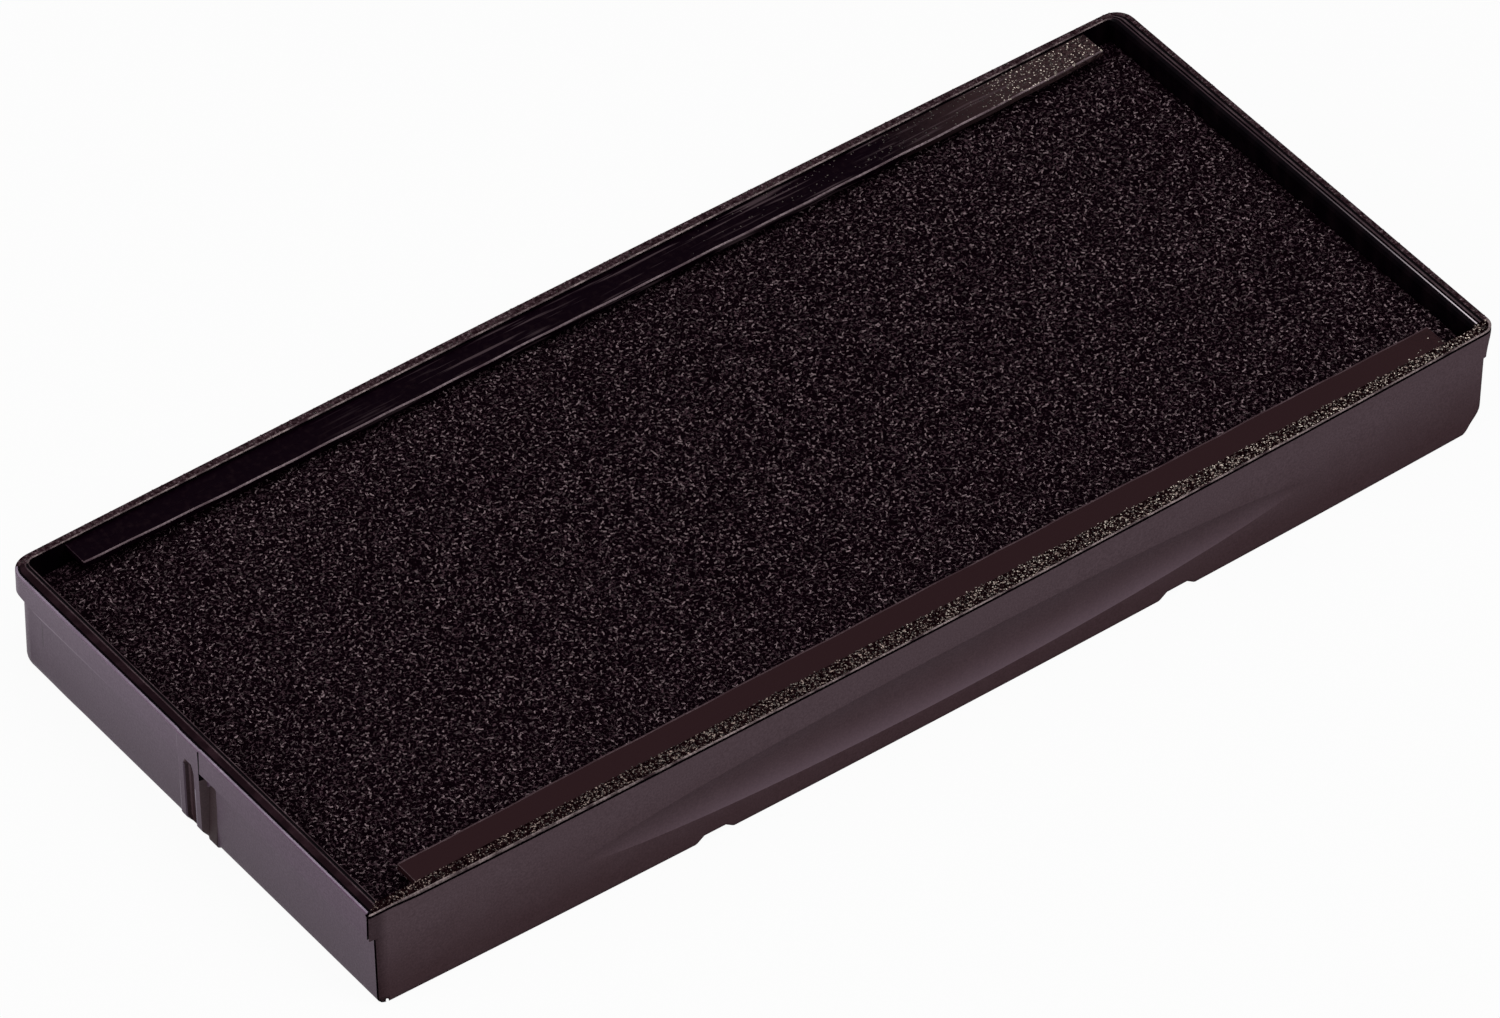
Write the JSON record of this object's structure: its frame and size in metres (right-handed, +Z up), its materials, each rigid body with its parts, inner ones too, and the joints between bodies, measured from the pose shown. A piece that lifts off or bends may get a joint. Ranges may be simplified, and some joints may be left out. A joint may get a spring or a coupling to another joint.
{
  "type": "stamp ink pad",
  "caption": "Shallow black moulded tray holding an ink-soaked foam reservoir, felt pad and cover cloth, with thin retaining strips over the pad's long edges.",
  "frame": {"origin": "centre of the tray's flat bottom, in its plane", "axes": "+X along the tray, +Z up out of its open side, the bowed front wall with the finger scoop at -Y"},
  "size_m": [0.0646, 0.0288, 0.006],
  "materials": {
    "tray_plastic": "fine matt moulded black, rough speckled rim",
    "strip_plastic": "smooth satin black",
    "ink_foam": "open-cell foam soaked in black ink",
    "ink_felt": "dense felt soaked in black ink",
    "inked_cloth": "fine curly pile soaked in black ink"
  },
  "bodies": {
    "root": {"tray": "tray_plastic", "front_retaining_strip": "strip_plastic", "rear_retaining_strip": "strip_plastic", "ink_reservoir_foam": "ink_foam", "felt_pad": "ink_felt", "cover_cloth": "inked_cloth"}
  },
  "joints": []
}
